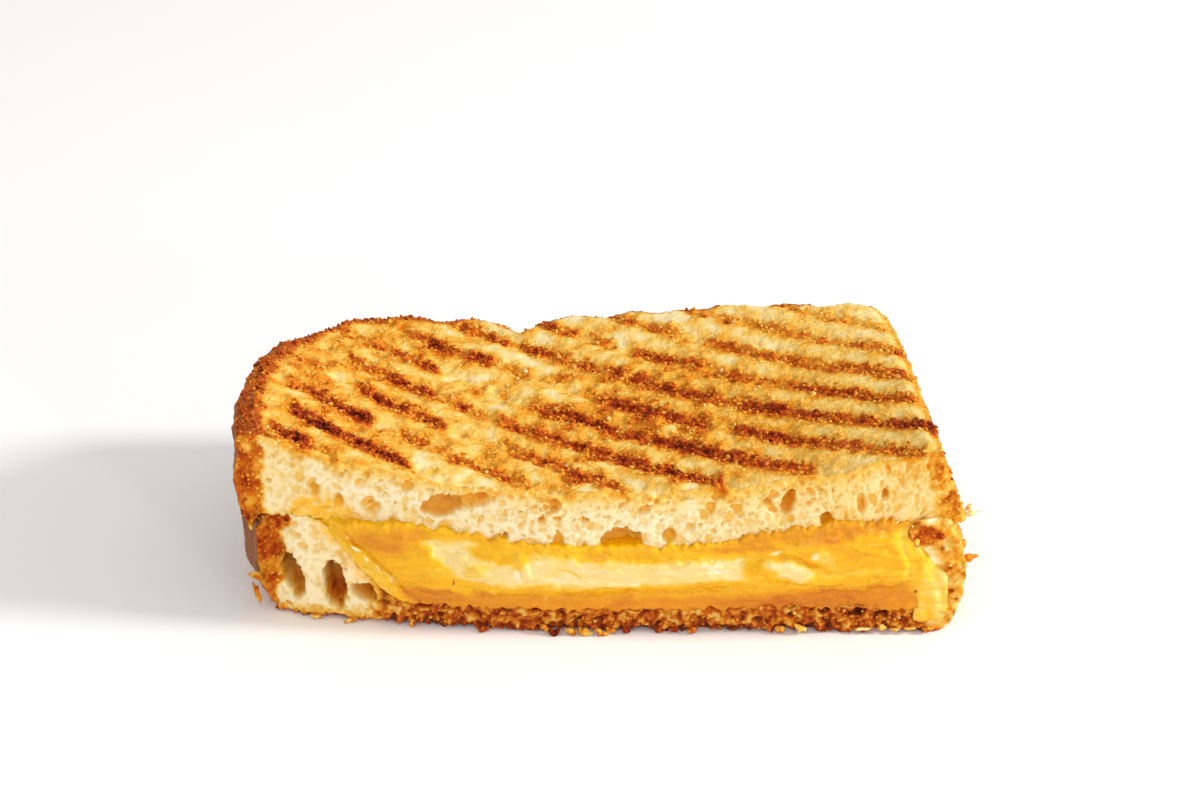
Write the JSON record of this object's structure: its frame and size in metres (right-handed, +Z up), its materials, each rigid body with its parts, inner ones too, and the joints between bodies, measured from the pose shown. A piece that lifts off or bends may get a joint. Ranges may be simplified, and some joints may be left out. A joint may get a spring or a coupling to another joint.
{
  "type": "grilled cheese sandwich",
  "caption": "Half of a pressed grilled cheese sandwich, cut side showing, with toasted bread, grill stripes and melted orange and white cheese.",
  "frame": {"origin": "on the table, under the middle of the sandwich's outer box", "axes": "+Z up, +X along the cut towards the straight crust, -Y out of the cut face"},
  "size_m": [0.131, 0.0769, 0.0359],
  "materials": {
    "toasted_bread": "matt open crumb with a browned, grill-striped crust",
    "orange_cheese": "glossy, melted",
    "white_cheese": "glossy, melted"
  },
  "bodies": {
    "root": {"bread_top": "toasted_bread", "cheddar_upper": "orange_cheese", "white_cheese": "white_cheese", "cheddar_lower": "orange_cheese", "bread_bottom": "toasted_bread"}
  },
  "joints": []
}
